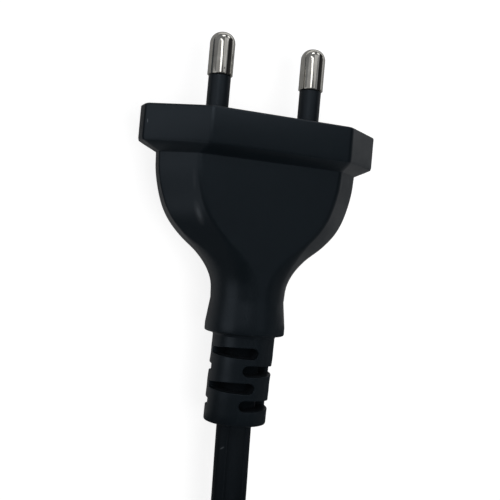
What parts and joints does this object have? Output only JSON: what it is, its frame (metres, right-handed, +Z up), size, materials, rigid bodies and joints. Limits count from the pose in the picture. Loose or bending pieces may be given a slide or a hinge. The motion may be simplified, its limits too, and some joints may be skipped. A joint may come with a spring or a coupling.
{
  "type": "two-pin mains plug",
  "caption": "Moulded mains plug with sleeved round pins, a faceted flange, a tapered grip and a slotted strain relief, on a flat cord that lies coiled and tied.",
  "frame": {"origin": "on the floor under the middle of the plug, measured without its cord", "axes": "+Y along the pins towards their tips, +X along the pin pitch, +Z up from the broad face of the flange that the plug lies on"},
  "size_m": [0.0836, 0.1851, 0.0193],
  "materials": {
    "moulding": "fine matte moulded texture",
    "pin_metal": "bright nickel plate",
    "sleeve": "satin",
    "bridge": "plain",
    "cord_sheath": "satin extruded",
    "core_brown": "satin extruded",
    "core_blue": "satin extruded",
    "copper": "bright stranded copper",
    "tie": "plain"
  },
  "bodies": {
    "root": {"outer_body": "moulding", "left_pin": "pin_metal", "right_pin": "pin_metal", "left_pin_sleeve": "sleeve", "right_pin_sleeve": "sleeve", "pin_bridge": "bridge", "left_core": "core_brown", "right_core": "core_blue", "left_conductor": "copper", "right_conductor": "copper", "cord_in_plug": "cord_sheath", "cord_lead": "cord_sheath", "cord_coil": "cord_sheath", "coil_tie": "tie", "far_core_lower": "core_blue", "far_core_upper": "core_brown", "far_strands_lower": "copper", "far_strands_upper": "copper"}
  },
  "joints": []
}
